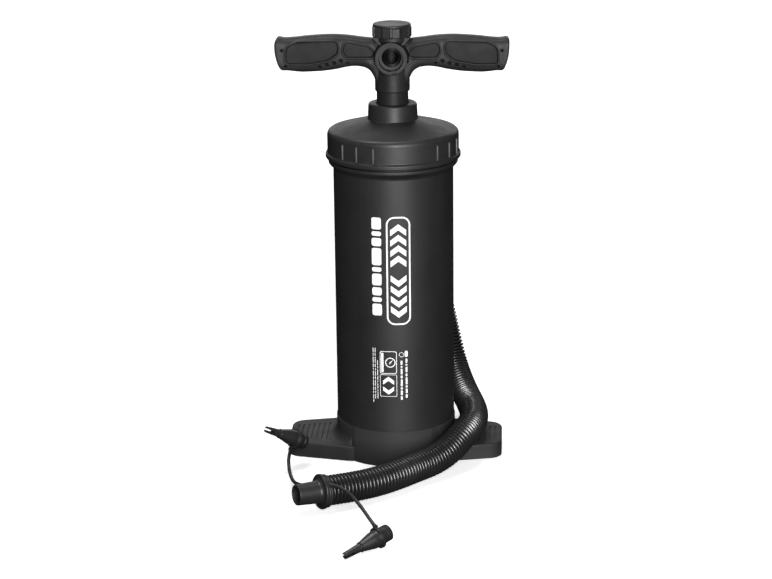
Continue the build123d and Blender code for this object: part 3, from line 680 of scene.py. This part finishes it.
PANEL_SMALL = [(17.6, 449.5), (25, 455.6), (50, 460.6), (52.2, 450), (47.5, 443.4), (20, 443.4)]
PANEL_SMALL_ROUND = [3.5, 8, 5.5, 6, 4.5, 3.5]
DIMPLES = [
    (117.0, 451.2, 1.4), (113.4, 434.0, 1.4), (76.8, 433.6, 1.7), (69.1, 435.8, 1.8), (61.5, 437.7, 2.0),
    (54.1, 440.1, 2.0), (46.8, 437.6, 1.4),
]
PANEL_DEPTH = 2.5
PANEL_WALL = 1.1
PANEL_RIM = 0.75
DIMPLE_DEPTH = 4.4
# closing cap on the outer end: how much each ring shrinks, and how far out it stands
GRIP_CAP = [(0.985, 0.9), (0.955, 1.6), (0.91, 2.0), (0.80, 2.1), (0.55, 2.15), (0.25, 2.2), (0.0, 2.2)]
# inner end: it clears the port ring below the shoulder, and slopes away above it
GRIP_INNER = 14.0
GRIP_OUTER = 121.0
SHOULDER_Z = 457.4
SHOULDER_X = 13.6
SHOULDER_SLOPE = 7.0 / 8.4
RING_CLEAR_R = 18.9
RING_NEAREST = 13.4
RING_LOWEST_Z = 437


def signed_distance(outline, x, z):
    """Distance from points to a closed outline, negative inside."""
    corners = np.array(outline)
    others = np.roll(corners, -1, axis=0)
    best = np.full(x.shape, 1e9)
    inside = np.zeros(x.shape, bool)
    for (ax, az), (bx, bz) in zip(corners, others):
        ex, ez = bx - ax, bz - az
        length = ex * ex + ez * ez
        if length < 1e-12:
            continue
        t = np.clip(((x - ax) * ex + (z - az) * ez) / length, 0, 1)
        best = np.minimum(best, np.hypot(x - ax - t * ex, z - az - t * ez))
        crosses = (az > z) != (bz > z)
        with np.errstate(divide="ignore", invalid="ignore"):
            at = (bx - ax) * (z - az) / (bz - az) + ax
        inside ^= crosses & (x < at)
    return np.where(inside, -best, best)


def panel_relief(x, z):
    """How far the grip's face is sunk at a point: two panels with raised rims, and dimples."""
    sunk = np.zeros(x.shape)
    for outline, corners in ((PANEL_LARGE, PANEL_LARGE_ROUND), (PANEL_SMALL, PANEL_SMALL_ROUND)):
        away = signed_distance(rounded(outline, corners, 8), x, z)
        sunk += PANEL_DEPTH * smooth(0.0, PANEL_WALL, -away)
        sunk -= PANEL_RIM * np.exp(-(((away - 0.7) / 0.75) ** 2))
    for cx, cz, radius in DIMPLES:
        away = np.hypot(x - cx, z - cz)
        sunk += DIMPLE_DEPTH * (1 - smooth(radius - 0.5, radius + 0.3, away))
    return sunk


def grip(name, node_name, side):
    """One hand grip: a lofted shell whose inner end follows the hub's port ring and shoulder."""
    stations, around = 300, 280
    inner, outer = GRIP_INNER, GRIP_OUTER
    share = np.linspace(0, 1, stations)
    along = inner + share * (outer - inner)
    top = spline_through(GRIP_TOP, along)
    bottom = spline_through(GRIP_BOTTOM, along)
    half = GRIP_HALF_DEPTH - 0.9 * (1 - smooth(14, 30, along)) + 0.35 * smooth(114, 121, along)
    power = 3.4 + 1.2 * smooth(100, 120, along)
    angles = np.linspace(0, 2 * math.pi, 1201)
    rows = []
    for x, high, low, depth, shape in zip(along, top, bottom, half, power):
        unit_y = np.sign(np.cos(angles)) * np.abs(np.cos(angles)) ** (2 / shape)
        unit_z = np.sign(np.sin(angles)) * np.abs(np.sin(angles)) ** (2 / shape)
        ys, zs = depth * unit_y, (high + low) / 2 + (high - low) / 2 * unit_z
        reach = np.concatenate([[0], np.cumsum(np.hypot(np.diff(ys), np.diff(zs)))])
        even = np.linspace(0, reach[-1], around + 1)[:-1]
        rows.append(np.stack([np.full(around, x), np.interp(even, reach, ys), np.interp(even, reach, zs)], 1))
    # rounded outer end, then the closing cap
    last = rows[-1]
    middle = last.mean(axis=0)
    for shrink, beyond in GRIP_CAP:
        ring = middle + (last - middle) * shrink
        ring[:, 0] = last[:, 0] + beyond
        rows.append(ring)
    first = rows[0]
    rows.insert(0, np.tile(first.mean(axis=0), (around, 1)))
    grid = np.array(rows)
    x, y, z = grid[..., 0], grid[..., 1], grid[..., 2]
    ring_edge = np.sqrt(np.maximum(RING_CLEAR_R**2 - (z - PORT_Z) ** 2, RING_NEAREST**2))
    v_edge = SHOULDER_X + np.maximum(z - SHOULDER_Z, 0) * SHOULDER_SLOPE
    inner_edge = np.where(z > SHOULDER_Z, v_edge, np.where(z > RING_LOWEST_Z, ring_edge, GRIP_INNER))
    pull = 1 - smooth(inner, inner + 16, x)
    x = x + (inner_edge - inner) * pull
    end_edge = spline_through(GRIP_END, z)
    x = x + (end_edge - outer) * smooth(90, outer, grid[..., 0])
    facing = smooth(0.55, 0.80, np.abs(y) / GRIP_HALF_DEPTH)
    y = y - np.sign(y) * panel_relief(x, z) * facing
    verts = np.stack([side * x, y, z], axis=-1).reshape(-1, 3)
    faces = []
    for row in range(len(grid) - 1):
        for k in range(around):
            a, b = row * around + k, row * around + (k + 1) % around
            faces.append((a, b, b + around, a + around))
    return add_mesh(name, verts.tolist(), faces, GRIP, "handle", "grip_plastic", (node_name,), 62.0)


grip("grip_a", "grip_left", -1)
grip("grip_b", "grip_right", 1)


# ------------------------------------------------------------------ print on the barrel
def outline_box(cx, cz, width, height, radius, steps=6):
    """A rounded rectangle's outline about a centre."""
    w, h = width / 2, height / 2
    corners = [(cx - w, cz - h), (cx + w, cz - h), (cx + w, cz + h), (cx - w, cz + h)]
    return rounded(corners, [min(radius, w - 0.01, h - 0.01)] * 4, steps)


def outline_disc(cx, cz, radius, steps=28):
    """A circle's outline."""
    return [
        (cx + radius * math.cos(2 * math.pi * k / steps), cz + radius * math.sin(2 * math.pi * k / steps))
        for k in range(steps)
    ]


def printed(name, filled, framed):
    """Ink on the barrel: filled outlines, and frames given as (outer, inner) outlines."""
    work = bmesh.new()
    for outline in filled:
        work.faces.new([work.verts.new((u, 0, v)) for u, v in outline])
    for outer, inner in framed:
        ring_a = [work.verts.new((u, 0, v)) for u, v in outer]
        ring_b = [work.verts.new((u, 0, v)) for u, v in inner]
        count = len(outer)
        for k in range(count):
            n = (k + 1) % count
            work.faces.new([ring_a[k], ring_a[n], ring_b[n], ring_b[k]])
    bmesh.ops.triangulate(work, faces=work.faces)
    for column in range(-24, 26):
        geometry = [*work.verts, *work.edges, *work.faces]
        bmesh.ops.bisect_plane(work, geom=geometry, plane_co=(column * 1.2, 0, 0), plane_no=(1, 0, 0))
    lift = BARREL_R + INK_LIFT
    for vert in work.verts:
        turned = vert.co.x / BARREL_R
        vert.co = Vector((lift * math.sin(turned), -lift * math.cos(turned), vert.co.z)) * MM
    mesh = bpy.data.meshes.new(name)
    work.normal_update()
    bmesh.ops.recalc_face_normals(work, faces=work.faces)
    outward = sum(f.normal.xy.dot(f.calc_center_median().xy) for f in work.faces)
    if outward < 0:
        bmesh.ops.reverse_faces(work, faces=work.faces)
    work.to_mesh(mesh)
    work.free()
    mesh.materials.append(INK)
    piece = bpy.data.objects.new(name, mesh)
    bpy.context.scene.collection.objects.link(piece)
    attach(piece, "root")
    return piece


def chevron(cu, cv, width, height, thick, way):
    """A V-shaped band pointing up (way 1) or down (way -1)."""
    w, h, t = width / 2, way * height / 2, way * thick
    return [
        (cu - w, cv - h), (cu, cv + h - t), (cu + w, cv - h),
        (cu + w, cv - h + t), (cu, cv + h), (cu - w, cv - h + t),
    ]


# a large framed panel of chevrons pointing up and down, for the two working strokes
CHEVRON_U = 8.0
frame_outer = outline_box(CHEVRON_U, 222.6, 26.0, 120.0, 9.0, 8)
frame_inner = outline_box(CHEVRON_U, 222.6, 22.6, 116.6, 7.4, 8)
chevrons = []
for index in range(4):
    chevrons.append(chevron(CHEVRON_U, 268.0 - 11.5 * index, 17.0, 13.0, 6.6, 1))
    chevrons.append(chevron(CHEVRON_U, 177.2 + 11.5 * index, 17.0, 13.0, 6.6, -1))
printed("print_chevrons", chevrons, [(frame_outer, frame_inner)])

# a column of bars beside it
bars, level = [], 281.5
for length in (13.0, 5.0, 9.0, 19.0, 5.0, 13.0, 9.0, 5.0, 13.0):
    bars.append(outline_box(-15.6, level - length / 2, 10.6, length, 2.2))
    level -= length + 2.2
printed("print_bars", bars, [])

# a small framed panel below: a gauge over a stroke symbol, with fine ruled lines around it
fills, frames = [], []
frames.append((outline_box(-4.1, 119.9, 18.4, 25.6, 2.2), outline_box(-4.1, 119.9, 17.0, 24.2, 1.6)))
frames.append((outline_box(-4.1, 93.6, 18.4, 25.2, 1.2), outline_box(-4.1, 93.6, 17.4, 24.2, 0.8)))
fills.append(outline_box(-10.6, 119.9, 2.6, 22.0, 1.0))
frames.append((outline_disc(-1.9, 119.9, 5.6), outline_disc(-1.9, 119.9, 4.6)))
fills.append([(-3.4, 117.6), (-1.4, 119.3), (0.9, 122.9), (-2.4, 120.4)])
fills.append(chevron(-4.1, 99.2, 12.0, 9.0, 4.6, 1))
fills.append(chevron(-4.1, 88.0, 12.0, 9.0, 4.6, -1))
frames.append((outline_disc(10.2, 128.8, 2.7), outline_disc(10.2, 128.8, 2.2)))
fills.append(outline_box(15.4, 129.5, 3.4, 6.6, 1.2))
for column, starts in ((10.2, 122.0), (15.6, 124.0)):
    run, lengths = starts, (4.6, 2.0, 6.4, 3.2, 7.8, 2.4, 5.2, 4.0, 3.0)
    for length in lengths:
        if run - length < 77.0:
            break
        fills.append(outline_box(column, run - length / 2, 2.0, length, 0.5, 3))
        run -= length + 1.3
for column, starts, stops in ((-20.9, 136.0, 74.0), (-18.6, 136.0, 78.0), (-16.0, 122.0, 84.0)):
    run, turn = starts, 0
    while run > stops:
        length = (5.5, 3.0, 7.0, 4.0, 2.4)[turn % 5]
        fills.append(outline_box(column, run - length / 2, 0.75, length, 0.3, 2))
        run -= length + 0.9
        turn += 1
printed("print_panel", fills, frames)

# ------------------------------------------------------------------ finishes of the carried-over nodes
FINISHES = {
    "foot_plastic": FOOT,
    "barrel_plastic": BARREL,
    "lid_plastic": LID,
    "hub_plastic": HUB,
    "grip_plastic": GRIP,
    "knob_plastic": KNOB,
    "rod_plastic": ROD,
    "hose_plastic": HOSE,
    "fitting_plastic": FITTING,
    "tether_rubber": TETHER,
    "seal_rubber": SEAL,
    "inner_plastic": INNER,
    "bush_plastic": BUSH,
    "screw_steel": STEEL,
}
# the spool is seen only through the front port; its near-black finish is painted shade that keeps the hole
# dark
NODE_FINISHES = {"selector_spool": SPOOL_PAINTED_SHADE}
for part in frame["record"]["subparts"]:
    carried = nodes[part["node"]]
    carried.data.materials.clear()
    finish = NODE_FINISHES.get(part["node"]) or FINISHES[part["material_slot"]]
    carried.data.materials.append(finish)

# ------------------------------------------------------------------ floor, sky and lights
floor_mesh = bpy.data.meshes.new("floor")
work = bmesh.new()
bmesh.ops.create_circle(work, cap_ends=True, radius=14.0, segments=96)
work.to_mesh(floor_mesh)
work.free()
floor = bpy.data.objects.new("floor", floor_mesh)
floor.location.z = -0.0002
bpy.context.scene.collection.objects.link(floor)
paper, paper_tree, paper_shader, paper_node = material("floor_paper")
paper_here = paper_node("ShaderNodeTexCoord").outputs["Object"]
paper_cloud = noise(paper_node, paper_here, 1.4, 2.0, 0.5)
paper_tree.links.new(
    mixed(paper_node, ranged(paper_node, paper_cloud, 0.0, 1.0), (0.90, 0.90, 0.90), (0.93, 0.93, 0.93)),
    paper_shader.inputs["Base Color"],
)
paper_shader.inputs["Roughness"].default_value = 0.9
paper_shader.inputs["Specular IOR Level"].default_value = 0.1
paper_shader.inputs["Emission Color"].default_value = (1.0, 1.0, 1.0, 1.0)
paper_shader.inputs["Emission Strength"].default_value = 0.42
floor_mesh.materials.append(paper)
floor.visible_glossy = False
floor.visible_diffuse = False

world = bpy.data.worlds.new("studio")
bpy.context.scene.world = world
world.use_nodes = True
sky = world.node_tree
sky.nodes.clear()
direction = sky.nodes.new("ShaderNodeTexCoord")
split = sky.nodes.new("ShaderNodeSeparateXYZ")
sky.links.new(direction.outputs["Generated"], split.inputs[0])
ramp = sky.nodes.new("ShaderNodeValToRGB")
ramp.color_ramp.elements[0].position = 0.44
ramp.color_ramp.elements[0].color = (0.015, 0.015, 0.015, 1)
ramp.color_ramp.elements[1].position = 0.56
ramp.color_ramp.elements[1].color = (0.08, 0.08, 0.08, 1)
shifted = sky.nodes.new("ShaderNodeMapRange")
shifted.inputs["From Min"].default_value = -1.0
sky.links.new(split.outputs["Z"], shifted.inputs["Value"])
sky.links.new(shifted.outputs[0], ramp.inputs[0])
paths = sky.nodes.new("ShaderNodeLightPath")
seen = sky.nodes.new("ShaderNodeMix")
seen.data_type = "RGBA"
sky.links.new(paths.outputs["Is Camera Ray"], seen.inputs[0])
sky.links.new(ramp.outputs[0], seen.inputs[6])
seen.inputs[7].default_value = (1.0, 1.0, 1.0, 1.0)
background = sky.nodes.new("ShaderNodeBackground")
sky.links.new(seen.outputs[2], background.inputs[0])
world_out = sky.nodes.new("ShaderNodeOutputWorld")
sky.links.new(background.outputs[0], world_out.inputs[0])


def light(name, kind, place, aim, power, **settings):
    """A lamp at a place, aimed at a point."""
    lamp = bpy.data.lights.new(name, kind)
    lamp.energy = power
    for key, value in settings.items():
        setattr(lamp, key, value)
    holder = bpy.data.objects.new(name, lamp)
    holder.location = place
    holder.rotation_mode = "QUATERNION"
    holder.rotation_quaternion = (Vector(aim) - Vector(place)).to_track_quat("-Z", "Y")
    holder.visible_camera = False
    bpy.context.scene.collection.objects.link(holder)
    return holder


light("overhead", "SUN", (-0.35, 0.35, 2.0), (0, 0, 0), 1.8, angle=math.radians(24))
light("key", "AREA", (0.46, -2.42, 0.80), (0, 0, 0.25), 100.0, shape="RECTANGLE", size=0.9, size_y=1.4)
light("back", "AREA", (0.0, 2.6, 1.15), (0, 0, 0.35), 14.0, shape="RECTANGLE", size=3.0, size_y=1.0)
light("side", "AREA", (-2.6, 0.4, 0.9), (0, 0, 0.25), 1.5, shape="RECTANGLE", size=1.0, size_y=1.6)
bpy.context.scene.view_settings.view_transform = "Standard"
